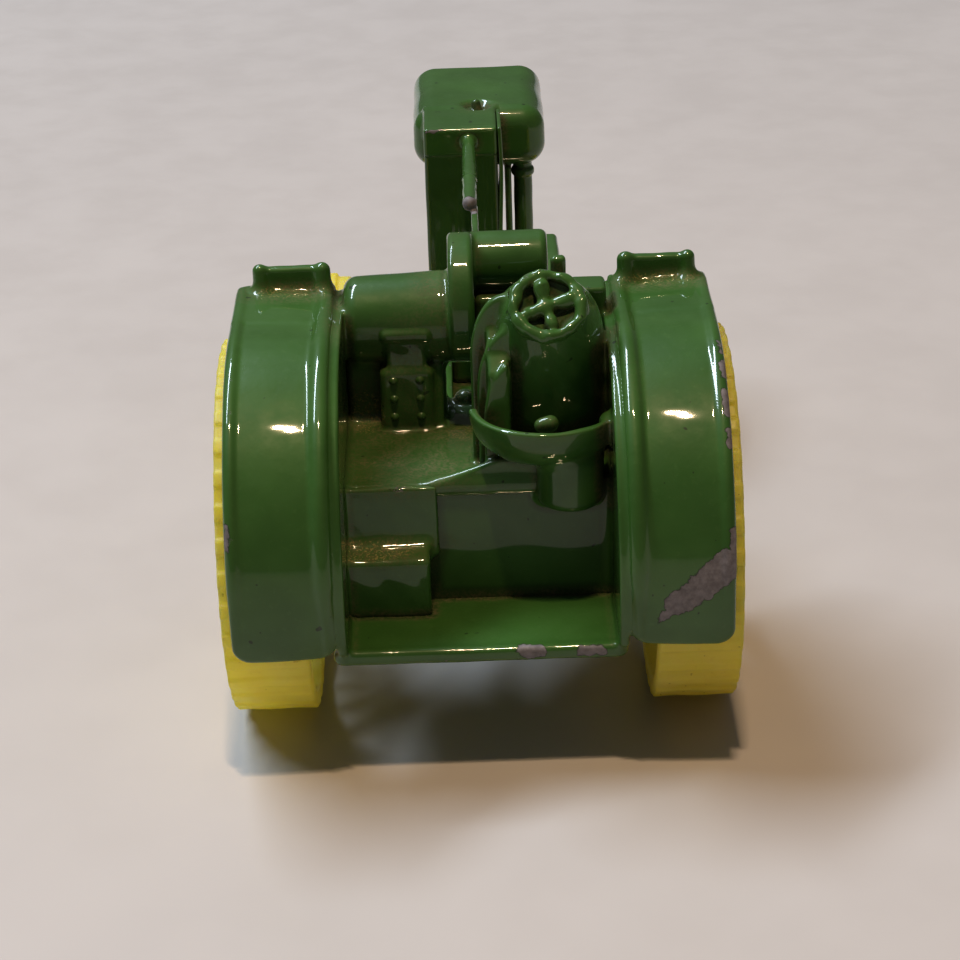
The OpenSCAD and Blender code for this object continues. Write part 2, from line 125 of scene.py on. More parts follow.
# ---------------------------------------------------------------- shapes
SHEET_T = 0.6                          # fender sheet
BEAD_IN, BEAD_OUT = 0.42, 0.36         # radii of the beads along its inner and outer edges
CROWN = 0.10                           # how much lower the sheet lies beside the beads than midway
CANT = {1: 0.06, -1: 0.042}            # outward rise of each sheet, mm per mm
END_ANGLE = {1: math.radians(13.5), -1: math.radians(14.8)}    # each sheet's end below axle height
WALL_DROP = 0.5                        # side wall's edge under the sheet's outer face
BRACKET_SHIFT = {1: 0.0, -1: 0.35}     # the left bar sits further in
BAR_DROP = 0.22                        # bar below its knobs
FENDER_LO, FENDER_HI = box_mm("fender_right")
FENDER_RO = -FENDER_LO[1] - 0.015      # outer radius about the axle
FENDER_TOP = FENDER_HI[2]
FENDER_W = FENDER_HI[0] - FENDER_LO[0]


def sheet_coords(p):
    """along the sheet, backwards from the crown, and height over its outer face"""
    y, z = p[1], p[2] - AXLE_Z
    rad = np.sqrt(y * y + z * z)
    back = y <= 0
    s = np.where(back, FENDER_RO * np.arctan2(-y, z), -y)
    n = np.where(back, rad - FENDER_RO, z - FENDER_RO)
    return s, n


def fender(p, side):
    s, n = sheet_coords(p)
    x = side * p[0] - FENDER_LO[0]                # from the inner edge outwards
    mid = FENDER_W / 2
    s_end = FENDER_RO * (math.pi / 2 + END_ANGLE[side])
    s_front = -FENDER_HI[1]
    outline = combine([slab(x, 0, FENDER_W), slab(s, s_front, s_end)], 1.0)
    recess = 0.19 + CROWN * ((x - mid) / mid) ** 2 - CANT[side] * (x - mid)
    pad = 0.045 * (1 - np.tanh((s + 1.7) / 0.24))  # flat seat of the bracket stands a little proud
    half_t = SHEET_T / 2 - 0.08
    sheet = combine([np.abs(n + recess - pad + half_t) - half_t, outline], 0.2)
    taper = np.clip((s_end - s) / 4.5, 0.2, 1)    # the beads fade out towards the lower end
    run = slab(s, s_front + 0.5, s_end - 0.3)
    inner = np.sqrt(((x - 0.52) / 1.2) ** 2 + (n + BEAD_IN) ** 2) - BEAD_IN * taper
    outer = np.sqrt((x - FENDER_W + BEAD_OUT) ** 2 + (n + BEAD_OUT) ** 2) - BEAD_OUT * taper
    lip = combine([slab(p[1], FENDER_HI[1] - SHEET_T, FENDER_HI[1]), slab(x, 0, FENDER_W),
                   slab(p[2], FENDER_TOP - SHEET_T - 0.9, FENDER_TOP - 0.1)], 0.22)
    d = smin(smin(sheet, combine([inner, run], 0.3), 0.22), combine([outer, run], 0.3), 0.16)
    return smin(d, lip, 0.3) + 0.012 * wave(p, 5.0, 1 + side)


def fender_side(p, side):
    lo, hi = box_mm("fender_side_right")
    y, z = p[1], p[2] - AXLE_Z
    rad = np.sqrt(y * y + z * z)
    top = np.where(y <= 0, rad, z) - (FENDER_RO - WALL_DROP)
    return combine([top, lo[2] - p[2], y - hi[1], slab(side * p[0], lo[0], hi[0])], 0.15) \
        + 0.01 * wave(p, 4.0, 3)


def bracket(p, side):
    lo, hi = box_mm("fender_bracket_right")
    q = (side * p[0] + BRACKET_SHIFT[side], p[1], p[2])
    bar_lo = (lo[0] + 0.25, lo[1] + 0.08, lo[2] - 0.3)
    bar_hi = (hi[0] - 0.25, hi[1] - 0.05, hi[2] - BAR_DROP)
    d = rbox(q, bar_lo, bar_hi, 0.26)
    for x, r in ((lo[0] + 0.45, 0.46), (hi[0] - 0.45, 0.40)):
        knob = capsule(q, (x, lo[1] + 0.1, lo[2] - 0.1), (x, lo[1] + 0.3, hi[2] - r - 0.02), r + 0.04, r)
        d = smin(d, knob, 0.25)
    return d + 0.03 * wave(p, 1.7, 5 + side)


def drum(p):
    lo, hi = box_mm("crankcase_drum")
    c = (lo + hi) / 2
    r = (hi[2] - lo[2]) / 2
    draft = 0.22                                  # the drum is this much thinner at its outer end
    grow = (p[0] - lo[0]) / (hi[0] - lo[0])
    rad = np.sqrt((p[1] - c[1]) ** 2 + (p[2] - c[2]) ** 2)
    barrel = rad - (r - draft + draft * grow)
    return combine([barrel, slab(p[0], lo[0], hi[0] + 0.2)], 0.75) + 0.02 * wave(p, 3.5, 2)


def flywheel(p):
    lo, hi = box_mm("flywheel")
    c = (lo + hi) / 2
    return cyl(p, 0, c, (hi[2] - lo[2]) / 2, lo[0], hi[0], 0.3) + 0.015 * wave(p, 3.0, 4)


def gear_cover(p):
    lo, hi = box_mm("gear_cover")
    base_top, neck_top = lo[2] + 3.6, hi[2] - 0.5
    d = rbox(p, (lo[0], lo[1] + 0.02, lo[2] - 0.2), (hi[0], hi[1], base_top), 0.38)
    neck = rbox(p, (lo[0] + 0.42, lo[1] + 0.2, lo[2]), (hi[0] - 0.35, hi[1], neck_top), 0.3)
    rim_lo = (lo[0] + 0.28, lo[1] + 0.05, neck_top - 0.05)
    rim_hi = (hi[0] - 0.18, hi[1] + 1.2, hi[2])
    return smin(smin(d, neck, 0.35), rbox(p, rim_lo, rim_hi, 0.2), 0.2) + 0.035 * wave(p, 1.9, 9)


def gear_rivets(p):
    lo, hi = box_mm("gear_cover_rivets")
    r = 0.24
    d = 1e3
    for x in (lo[0] + r, hi[0] - r):
        for z in np.linspace(lo[2] + r, hi[2] - r, 3):
            d = np.minimum(d, capsule(p, (x, lo[1] + 0.24, z), (x, lo[1] + 0.6, z), r))
    return d


def saddle(p):
    lo, hi = box_mm("drum_saddle")
    return rbox(p, (lo[0], lo[1], lo[2] - 0.2), (hi[0], hi[1], hi[2]), 0.3) + 0.03 * wave(p, 2.1, 6)


def gusset(p):
    lo, hi = box_mm("drum_gusset")
    d = rbox(p, (lo[0] - 0.1, lo[1] - 0.2, lo[2] - 0.2), (hi[0] - 0.1, hi[1] + 0.5, hi[2] - 0.2), 0.2)
    lean = (lo[1] + 0.5 * (p[2] - lo[2]) / 4.6) - p[1]
    return smax(d, lean, 0.2)


def deck(p):
    lo, hi = box_mm("deck_plate")
    d = rbox(p, lo, hi, 0.18)
    # rear edge rises in a thin lip to the seat
    lip_left, lip_right, lip_t, lip_h = -2.4, 3.4, 0.5, 1.35
    rise = np.clip((p[0] - lip_left) / 3.6, 0, 1) * lip_h
    lip = combine([slab(p[0], lip_left, lip_right), slab(p[1], lo[1], lo[1] + lip_t),
                   slab(p[2], hi[2] - 0.4, hi[2] + 0.02 + rise)], 0.2)
    lump = ball(p, (-0.55, hi[1] - 0.4, hi[2] - 0.05), 0.7)
    return smin(smin(d, lip, 0.9), lump, 0.25) + 0.022 * wave(p, 2.6, 7)


def floor(p):
    lo, hi = box_mm("floor_plate")
    edge = 0.06 * np.exp(-((p[1] - lo[1] - 0.35) / 0.4) ** 2)
    plan = combine([slab(p[0], lo[0] - 0.3, hi[0]), slab(p[1], lo[1], hi[1])], 0.7)
    return combine([plan, slab(p[2], lo[2], hi[2])], 0.3) - edge + 0.05 + 0.03 * wave(p, 4.3, 8)


def rear_wall(p):
    lo, hi = box_mm("rear_wall")
    return rbox(p, (lo[0], lo[1], lo[2] - 0.2), (hi[0], hi[1], hi[2] + 0.45), 0.12) + 0.03 * wave(p, 5.5, 2)


def step(p):
    lo, hi = box_mm("step_box")
    wall_y = box_mm("rear_wall")[0][1]
    step_right, step_top, slope = hi[0] - 0.5, 10.7, 0.26
    tread = p[2] - step_top - slope * (p[1] - lo[1])
    d = combine([tread, slab(p[0], lo[0], step_right), slab(p[1], lo[1], wall_y + 0.4),
                 lo[2] - 0.2 - p[2]], 0.26)
    riser = rbox(p, (lo[0], wall_y - 0.32, step_top - 0.4), (hi[0], wall_y + 0.3, hi[2] - 0.02), 0.18)
    return smin(d, riser, 0.7) + 0.035 * wave(p, 2.3, 11)


def axle_boss(p, side):
    lo, hi = box_mm("axle_boss_right")
    return cyl((side * p[0], p[1], p[2]), 0, (0, 0, AXLE_Z), (hi[2] - lo[2]) / 2, lo[0] - 0.1, hi[0], 0.2)


def block_node(name, r, amp=0.015, size=3.0, seed=1):
    lo, hi = box_mm(name)
    return lambda p: rbox(p, lo, hi, r) + amp * (wave(p, size, seed) + 1) * 0.5


def cross_members(p):
    lo, hi = box_mm("frame_cross_members")
    half = 0.9
    return np.minimum(rbox(p, lo, (hi[0], lo[1] + 2 * half, hi[2]), 0.2),
                      rbox(p, (lo[0], hi[1] - 2 * half, lo[2]), hi, 0.2))


def engine_block(p):
    lo, hi = box_mm("engine_block")
    pul_lo, pul_hi = box_mm("belt_pulley")
    c = (pul_lo + pul_hi) / 2
    d = rbox(p, lo, hi, 0.35)
    rad = np.sqrt((p[1] - c[1]) ** 2 + (p[2] - c[2]) ** 2)
    pulley_room = 1.62
    return smax(d, pulley_room - rad, 0.15) + 0.03 * wave(p, 3.3, 13) + 0.02


def belt_pulley(p):
    lo, hi = box_mm("belt_pulley")
    return cyl(p, 0, (lo + hi) / 2, (hi[2] - lo[2]) / 2, lo[0] - 0.3, hi[0], 0.4) + 0.015 * wave(p, 2.2, 14)


WHEEL_LO, WHEEL_HI = box_mm("steering_wheel")
PED_LO, PED_HI = box_mm("steering_pedestal")
TILT = math.radians(42)
STEER_R = (WHEEL_HI[0] - WHEEL_LO[0]) / 2
STEER_C = np.array([(WHEEL_LO[0] + WHEEL_HI[0]) / 2, -2.4, 23.5])


def steer_local(p):
    x, y, z = (p[i] - STEER_C[i] for i in range(3))
    return x, y * math.cos(TILT) + z * math.sin(TILT), z * math.cos(TILT) - y * math.sin(TILT)


def column(p):
    return combine([slab(p[0], PED_LO[0] - 0.1, PED_HI[0] + 0.15), slab(p[1], PED_LO[1], PED_HI[1])], 1.2)


def pedestal(p):
    u, v, n = steer_local(p)
    rad = np.sqrt(u * u + v * v)
    # the shoulder falls away from the wheel's rim as a blunt cone
    widening = 0.5
    cone = (rad - STEER_R + 0.1 - widening * np.maximum(-n, 0)) * 0.88
    d = smax(column(p), cone, 0.7)
    d = combine([d, PED_LO[2] - 0.2 - p[2], n - 0.05], 0.15)
    dish = np.sqrt(u * u + v * v + (n - 2.2) ** 2) - 2.75
    return smax(d, -dish, 0.15) + 0.04 * wave(p, 4.2, 15) + 0.025 * wave(p, 1.7, 4)


def steering_wheel(p):
    u, v, n = steer_local(p)
    ang = np.arctan2(v, u)
    rad = np.sqrt(u * u + v * v)
    thick = 0.33 + 0.04 * np.sin(3 * ang + 0.8) + 0.025 * np.sin(7 * ang)
    d = np.sqrt((rad - (STEER_R - 0.33)) ** 2 + (n - 0.1) ** 2) - thick
    backing = combine([rad - (STEER_R - 0.2), slab(n, -0.85, -0.42)], 0.1)
    d = smin(d, backing, 0.15)
    q = (u, v, n)
    d = smin(d, ball(q, (-0.05, 0.1, -0.2), 0.52), 0.25)
    # four thick spokes of uneven height
    for turn, reach, rise, size in ((108, 1.15, 0.2, 0.42), (203, 1.15, 0.0, 0.42),
                                    (280, 1.05, -0.15, 0.38), (14, 1.15, 0.05, 0.40)):
        t = math.radians(turn)
        end = (reach * math.cos(t), reach * math.sin(t), rise)
        d = smin(d, capsule(q, (0.15 * math.cos(t), 0.15 * math.sin(t), -0.1), end, size * 0.8, size), 0.2)
    return d + 0.09 * wave(p, 1.15, 16) + 0.02 * wave(p, 0.6, 5)


def throttle(p):
    lo, hi = box_mm("throttle_lever")
    return rbox(p, lo, hi, 0.22) + 0.015 * wave(p, 1.4, 17)


LEVER_TOPS = (21.0, 22.3, 23.8)
LEVER_ENDS = (0.7, 0.8, 1.2)           # how far each runs into the pedestal
LEVER_T = 0.62


def levers(p):
    lo, hi = box_mm("control_levers")
    pitch = (hi[1] - lo[1] - 0.7) / 2
    rx, rz = 1.9, 3.6                             # half axes of the arcs
    d = 1e3
    for i, (top, right_end) in enumerate(zip(LEVER_TOPS, LEVER_ENDS)):
        left = lo[0] + 0.32 * (2 - i)
        y0 = lo[1] + i * pitch
        ex = np.maximum(left + rx - p[0], 0) / rx
        ez = np.maximum(p[2] - top + rz, 0) / rz
        arc = (np.sqrt(ex ** 2 + ez ** 2 + 1e-9) - 1) * 2.1
        lever = combine([arc, slab(p[1], y0, y0 + LEVER_T), lo[2] - 0.2 - p[2],
                         p[0] - PED_LO[0] - right_end], 0.18)
        d = np.minimum(d, lever)
    web = combine([lo[0] + 0.9 - p[0], p[0] - PED_LO[0] - 0.8, slab(p[1], lo[1] + 0.1, hi[1]),
                   p[2] - LEVER_TOPS[0] - (p[1] - lo[1]) * 0.9 + 0.9, lo[2] - 0.2 - p[2]], 0.2)
    return smin(d, web, 0.2) + 0.02 * wave(p, 1.9, 18)


SEAT_LO, SEAT_HI = box_mm("seat_pan")


def seat(p):
    c = np.array([SEAT_HI[0] - 3.35, SEAT_LO[1] + 4.15])
    r_xy = np.sqrt((p[0] - c[0]) ** 2 + (p[1] - c[1]) ** 2)
    rim_z = SEAT_HI[2]
    a, b = 4.12, rim_z - SEAT_LO[2] + 0.1
    depth = np.maximum(rim_z + 0.05 - p[2], 0)
    outer = (((r_xy / a) ** 2.6 + (depth / b) ** 2.6) ** (1 / 2.6) - 1) * 3.0
    inner = (((r_xy / (a - 0.42)) ** 2.4 + ((depth + 0.15) / (b - 0.7)) ** 2.4) ** (1 / 2.4) - 1) * 2.6
    shell = smax(outer, -inner, 0.12)
    d = combine([shell, p[2] - rim_z + 0.02, p[1] - (c[1] - 0.35), p[0] - SEAT_HI[0] - 0.1], 0.12)
    lump = ball(p, (3.9, SEAT_LO[1] + 1.7, rim_z - 0.1), 0.42)
    lump = smin(lump, ball(p, (3.4, SEAT_LO[1] + 1.7, rim_z - 0.2), 0.36), 0.3)
    web = ball(p, (SEAT_HI[0] - 0.1, SEAT_LO[1] + 2.3, rim_z - 0.35), 0.5)
    return smin(smin(d, lump, 0.25), web, 0.5) + 0.035 * wave(p, 2.4, 19)


def seat_post(p):
    lo, hi = box_mm("seat_post")
    c = ((lo + hi) / 2)[0]
    wall_y = box_mm("rear_wall")[0][1]
    r = (hi[0] - lo[0]) / 2
    barrel = np.sqrt((p[0] - c) ** 2 + (p[1] - wall_y) ** 2) - r
    d = combine([barrel, slab(p[2], lo[2] - 0.1, hi[2] + 0.9), p[1] - wall_y - 1.2], 0.55)
    return d + 0.02 * wave(p, 2.7, 20)


def toolbox(p):
    lo, hi = box_mm("toolbox")
    return rbox(p, (lo[0], lo[1], lo[2] - 0.2), (hi[0] + 0.2, hi[1], hi[2]), 0.25) + 0.03 * wave(p, 2.2, 21)


TANK_LO, TANK_HI = box_mm("fuel_tank")
CAP_LO, CAP_HI = box_mm("filler_cap")


def dimple(p):
    """hollow the filler cap sits in"""
    c = (CAP_LO + CAP_HI) / 2
    return ball(p, (c[0], c[1] + 0.05, TANK_HI[2] + 0.7), 1.27)


def tank(p):
    d2 = combine([slab(p[0], TANK_LO[0], TANK_HI[0]), slab(p[2], TANK_LO[2], TANK_HI[2])], 1.5)
    d = combine([d2, slab(p[1], TANK_LO[1] - 0.3, TANK_HI[1])], 1.3)
    return smax(d, -dimple(p), 0.3) + 0.03 * wave(p, 5.2, 22) + 0.02


def cap(p):
    c = (CAP_LO + CAP_HI) / 2
    rad = np.sqrt((p[0] - c[0]) ** 2 + (p[1] - c[1]) ** 2)
    ring = np.sqrt((rad - 0.5) ** 2 + (p[2] - CAP_LO[2] + 0.45) ** 2) - 0.2
    nub = capsule(p, (c[0], c[1], CAP_LO[2] - 0.5), (c[0] - 0.1, c[1] + 0.2, CAP_LO[2]), 0.3)
    return smin(ring, nub, 0.1)


def radiator_top(p):
    lo, hi = box_mm("radiator_top")
    d = rbox(p, lo, (hi[0], hi[1] + 2.4, hi[2] + 0.01), 0.2)
    return smax(d, -dimple(p), 0.3) + 0.02 * wave(p, 2.8, 23)


def radiator_core(p):
    lo, hi = box_mm("radiator_core")
    fin_pitch, fin_depth = 0.45, 0.009
    fade = 1 - np.clip(np.abs(p[0] - 1.0) - 1.2, 0, 1)
    fins = fin_depth * np.cos(2 * math.pi * p[0] / fin_pitch) * fade
    d = rbox(p, (lo[0], lo[1], lo[2] - 0.2), (hi[0], hi[1], hi[2] + 0.2), 0.2)
    return d + fins + 0.02 * wave(p, 3.8, 24)


def side_plate(p):
    lo, hi = box_mm("radiator_side_plate")
    bend = 0.08 * np.sin((p[2] - lo[2]) * 0.55)
    q = (p[0] + bend, p[1], p[2])
    return rbox(q, lo, hi, 0.09)


def water_pipe(p):
    lo, hi = box_mm("water_pipe")
    c = (lo + hi) / 2
    d = cyl(p, 2, c, 0.6, lo[2] - 0.2, hi[2], 0.05)
    collar = cyl(p, 2, c, 0.75, hi[2] - 0.8, hi[2] - 0.25, 0.2)
    return smin(d, collar, 0.15) + 0.02 * wave(p, 2.0, 25)


def rod(p):
    lo, hi = box_mm("governor_rod")
    c = (lo + hi) / 2
    r = (hi[0] - lo[0]) / 2
    r_mid = r * 1.05
    tip = (c[0] - 0.02, lo[1] + r, c[2])
    middle = (c[0] + 0.02, lo[1] + 4.5, c[2])
    far = (c[0] + 0.05, hi[1] + 0.2, c[2])
    d = smin(capsule(p, tip, middle, r, r_mid), capsule(p, middle, far, r_mid, r), 0.1)
    return d + 0.012 * wave(p, 1.8, 26)


def rod_web(p):
    lo, hi = box_mm("rod_web")
    return rbox(p, (lo[0], lo[1], lo[2] - 0.3), (hi[0], hi[1], hi[2] + 0.2), 0.14) + 0.015 * wave(p, 1.9, 27)


def bolster(p):
    lo, hi = box_mm("front_bolster")
    beam_lo, beam_hi = box_mm("front_axle_beam")
    c = ((beam_lo + beam_hi) / 2)
    rail_low = box_mm("frame_rail_left")[0][2]
    d = cyl(p, 2, c, 1.8, lo[2] - 0.1, rail_low + 0.3, 0.2)
    return smin(d, rbox(p, (lo[0], lo[1], rail_low), hi, 0.2), 0.4)


# ---------------------------------------------------------------- wheels
LUGS = 36                              # cross ridges round a rear wheel
LUG_H = 0.15
REAR_SPOKES, FRONT_SPOKES = 12, 8
WEB_LO, WEB_HI = 2.75, 3.65            # spokes and their rim, from a rear wheel's inner face
BORE_R = 0.65
RIM_LO, RIM_HI = box_mm("rear_wheel_right")
FRONT_LO, FRONT_HI = box_mm("front_wheel_right")
FRONT_X = (box_mm("front_axle")[0][0] + box_mm("front_axle")[1][0]) / 2
FRONT_Y = (FRONT_LO[1] + FRONT_HI[1]) / 2
FRONT_Z = (FRONT_LO[2] + FRONT_HI[2]) / 2


def spokes(y, z, n, width, r_in):
    """distance in the wheel's plane to the nearest of n radial bars"""
    ang = np.arctan2(z, y)
    pitch = 2 * math.pi / n
    fold = np.mod(ang - math.pi / 2 + pitch / 2, pitch) - pitch / 2
    rad = np.sqrt(y * y + z * z)
    return np.maximum(np.abs(rad * np.sin(fold)) - width / 2, r_in - rad)


def rear_wheel(p, side):
    a = side * p[0] - RIM_LO[0]
    y, z = p[1], p[2] - AXLE_Z
    rad = np.sqrt(y * y + z * z)
    ang = np.arctan2(z, y)
    w = RIM_HI[0] - RIM_LO[0]
    r_top = (RIM_HI[2] - RIM_LO[2]) / 2
    phase = ang * LUGS + 0.35 * side
    lug = 0.5 * (1 + np.tanh(3.5 * np.cos(phase)))
    height = LUG_H * lug * (1 + 0.2 * np.sin(3 * ang + side))
    r_out = r_top - 0.21 + height + 0.02 * np.sin(a * 2.2 + ang * 5)
    r_web = r_top - 0.7
    rim = combine([rad - r_out, r_top - 1.05 - rad, slab(a, 0, w)], 0.14)
    web = combine([rad - r_web, r_top - 1.45 - rad, slab(a, WEB_LO, WEB_HI)], 0.1)
    bar_w = 0.95 - 0.035 * rad
    bars = combine([spokes(y, z, REAR_SPOKES, bar_w, 1.0), rad - r_web,
                    slab(a, WEB_LO + 0.05, WEB_HI - 0.05)], 0.16)
    hub = combine([rad - 2.0 + 0.1 * (a - 2) / 2, slab(a, 0.02, 4.0)], 0.25)
    d = smin(smin(rim, web, 0.25), smin(bars, hub, 0.35), 0.35)
    return smax(d, BORE_R - rad, 0.08) + 0.01 * wave(p, 3.1, 30 + side)


def front_wheel(p, side):
    a = side * (p[0] - FRONT_X) - (FRONT_LO[0] - FRONT_X)
    y, z = p[1] - FRONT_Y, p[2] - FRONT_Z
    rad = np.sqrt(y * y + z * z)
    w = FRONT_HI[0] - FRONT_LO[0]
    r_top = (FRONT_HI[2] - FRONT_LO[2]) / 2
    rim = combine([rad - r_top + 0.25, r_top - 0.85 - rad, slab(a, 0, w)], 0.16)
    band = combine([rad - r_top, r_top - 0.6 - rad, slab(a, w / 2 - 0.3, w / 2 + 0.3)], 0.12)
    bars = combine([spokes(y, z, FRONT_SPOKES, 0.62, 0.8), rad - (r_top - 0.5),
                    slab(a, 1.22, 1.78)], 0.14)
    hub = combine([rad - 1.3, slab(a, 0.02, 2.2)], 0.22)
    d = smin(smin(rim, band, 0.15), smin(bars, hub, 0.3), 0.3)
    return smax(d, BORE_R - rad, 0.08)


# ---------------------------------------------------------------- pieces
def sided(fn, side):
    return lambda p: fn(p, side)


# each piece's field, the neighbours it flares into, the flare's size and the mesh cell
PIECES = {
    "fender_left": (sided(fender, -1), (), 0, 0.1),
    "fender_right": (sided(fender, 1), (), 0, 0.1),
    "fender_side_left": (sided(fender_side, -1), ("fender_left",), 0.3, 0.12),
    "fender_side_right": (sided(fender_side, 1), ("fender_right",), 0.3, 0.12),
    "fender_bracket_left": (sided(bracket, -1), ("fender_left",), 0.6, 0.06),
    "fender_bracket_right": (sided(bracket, 1), ("fender_right",), 0.6, 0.06),
    "axle_boss_left": (sided(axle_boss, -1), ("fender_side_left",), 0.4, 0.14),
    "axle_boss_right": (sided(axle_boss, 1), ("fender_side_right",), 0.4, 0.14),
    "rear_wall": (rear_wall, ("fender_side_left", "fender_side_right"), 0.7, 0.12),
    "deck_plate": (deck, ("fender_side_left", "fender_side_right"), 0.6, 0.1),
    "floor_plate": (floor, ("fender_side_left", "fender_side_right"), 0.5, 0.1),
    "step_box": (step, ("fender_side_left",), 0.35, 0.09),
    "frame_rail_left": (block_node("frame_rail_left", 0.22), (), 0, 0.16),
    "frame_rail_right": (block_node("frame_rail_right", 0.22), (), 0, 0.16),
    "frame_cross_members": (cross_members, (), 0, 0.16),
    "front_cross_plate": (block_node("front_cross_plate", 0.2), (), 0, 0.16),
    "base_plate": (block_node("base_plate", 0.2), (), 0, 0.2),
    "front_bolster": (bolster, (), 0, 0.16),
    "front_axle_beam": (block_node("front_axle_beam", 0.35), (), 0, 0.16),
    "drum_saddle": (saddle, ("crankcase_drum", "deck_plate"), 0.6, 0.1),
    "drum_gusset": (gusset, ("crankcase_drum", "deck_plate", "gear_cover"), 0.4, 0.08),
    "crankcase_drum": (drum, ("flywheel", "fender_side_left"), 0.5, 0.1),
    "flywheel": (flywheel, ("deck_plate",), 0.3, 0.09),
    "gear_cover": (gear_cover, ("deck_plate", "crankcase_drum"), 0.35, 0.07),
    "gear_cover_rivets": (gear_rivets, ("gear_cover",), 0.08, 0.035),
    "engine_block": (engine_block, (), 0, 0.12),
    "belt_pulley": (belt_pulley, ("flywheel", "engine_block"), 0.3, 0.08),
    "steering_pedestal": (pedestal, ("deck_plate", "fender_side_right"), 0.5, 0.08),
    "steering_wheel": (steering_wheel, ("steering_pedestal",), 0.15, 0.045),
    "throttle_lever": (throttle, ("steering_pedestal",), 0.3, 0.08),
    "control_levers": (levers, ("deck_plate", "steering_pedestal"), 0.35, 0.07),
    "seat_pan": (seat, ("steering_pedestal", "fender_side_right"), 0.35, 0.07),
    "seat_post": (seat_post, ("rear_wall", "seat_pan"), 0.5, 0.09),
    "toolbox": (toolbox, ("fender_side_right", "deck_plate"), 0.4, 0.1),
    "radiator_core": (radiator_core, (), 0, 0.12),
    "radiator_top": (radiator_top, ("fuel_tank",), 0.4, 0.1),
    "radiator_side_plate": (side_plate, (), 0, 0.055),
    "filler_cap": (cap, ("fuel_tank",), 0.2, 0.05),
    "fuel_tank": (tank, (), 0, 0.12),
    "tank_leg": (block_node("tank_leg", 0.15), ("fuel_tank",), 0.3, 0.09),
    "water_pipe": (water_pipe, ("fuel_tank",), 0.3, 0.08),
    "governor_rod": (rod, ("radiator_top",), 0.3, 0.06),
    "rod_web": (rod_web, ("governor_rod", "flywheel"), 0.2, 0.06),
    "rear_wheel_left": (sided(rear_wheel, -1), (), 0, 0.12),
    "rear_wheel_right": (sided(rear_wheel, 1), (), 0, 0.12),
    "front_wheel_left": (sided(front_wheel, -1), (), 0, 0.1),
    "front_wheel_right": (sided(front_wheel, 1), (), 0, 0.1),
}
# painted shade: these pieces' faces are darkened further, as if deeper in shade, by raising their hollow
# layer
EXTRA_PAINTED_SHADE = {"radiator_core": 0.7, "rear_wall": 0.5, "filler_cap": 0.6, "steering_pedestal": 0.15}
YELLOW = [n for n in PIECES if "wheel_" in n and not n.startswith("steering")]
BOXES = {n: box_mm(n) for n in PIECES}
SINK = 0.015                           # neighbours count as this much smaller in a flare
REACH_IN_FLARE = 0.9                   # a flare reaches this share of its size
MARGIN = {"deck_plate": 1.9, "seat_post": 1.0, "seat_pan": 1.0}   # round boxes that a shape outgrows
CAVITY_REACH = 0.8                     # how far off a surface shade and dust are felt
EDGE_BEND = 5.0                        # curvature, per mm, of a fully worn edge


def fused(name):
    """the piece with a flare where it meets its neighbours, as thick paint leaves it"""
    field, near, flare, _ = PIECES[name]
    if not near:
        return field

    def joined(p):
        d = field(p)
        n = PIECES[near[0]][0](p)
        for other in near[1:]:
            n = np.minimum(n, PIECES[other][0](p))
        n = n + SINK
        skin = np.maximum(smin(d, n, flare), d - REACH_IN_FLARE * flare)
        return np.maximum(skin, np.minimum(-n - 0.12, d))
    return joined


def gradient(field, pts, h, bend=False):
    """gradient of a field at points, and its Laplacian: the surface's curvature"""
    g = np.empty_like(pts)
    total = np.zeros(len(pts))
    for i in range(3):
        step_v = np.zeros(3, pts.dtype)
        step_v[i] = h
        ahead_f, behind_f = field(tuple((pts + step_v).T)), field(tuple((pts - step_v).T))
        g[:, i] = ahead_f - behind_f
        total += ahead_f + behind_f
    if bend:
        return g / (2 * h), (total - 6 * field(tuple(pts.T))) / (h * h)
    return g / (2 * h)


def mesh_field(field, lo, hi, cell):
    lo = lo - 3 * cell
    n = np.ceil((hi + 3 * cell - lo) / cell).astype(int)
    axes = [(lo[i] + cell * np.arange(n[i])).astype(np.float32) for i in range(3)]
    p = (axes[0][:, None, None], axes[1][None, :, None], axes[2][None, None, :])
    d = np.broadcast_to(field(p), tuple(n)).astype(np.float32)
    grid = openvdb.FloatGrid(background=3.0)
    grid.copyFromArray(np.ascontiguousarray(np.clip(d / cell, -3, 3)))
    pts, quads = grid.convertToQuads(isovalue=0.0)
    pts = pts.astype(np.float64) * cell + lo
    for _ in range(2):
        f = field(tuple(pts.T))
        g = gradient(field, pts, cell * 0.3)
        g2 = np.maximum((g * g).sum(1), 0.25)
        move = -(f / g2)[:, None] * g
        size = np.linalg.norm(move, axis=1)
        pts = pts + move * np.minimum(1, 0.4 * cell / np.maximum(size, 1e-9))[:, None]
    return pts, quads


def everything(pts):
    """distance to the nearest green piece, at points"""
    d = np.full(len(pts), 9.0)
    near_box = 2 * CAVITY_REACH
    for name in PIECES:
        if name in YELLOW:
            continue
        lo, hi = BOXES[name]
        inside = np.all((pts > lo - near_box) & (pts < hi + near_box), axis=1)
        if inside.any():
            q = pts[inside]
            d[inside] = np.minimum(d[inside], PIECES[name][0](tuple(q.T)))
    return d


ROD_LO, ROD_HI = box_mm("governor_rod")
ROD_TIP = np.array([(ROD_LO[0] + ROD_HI[0]) / 2, ROD_LO[1], (ROD_LO[2] + ROD_HI[2]) / 2])
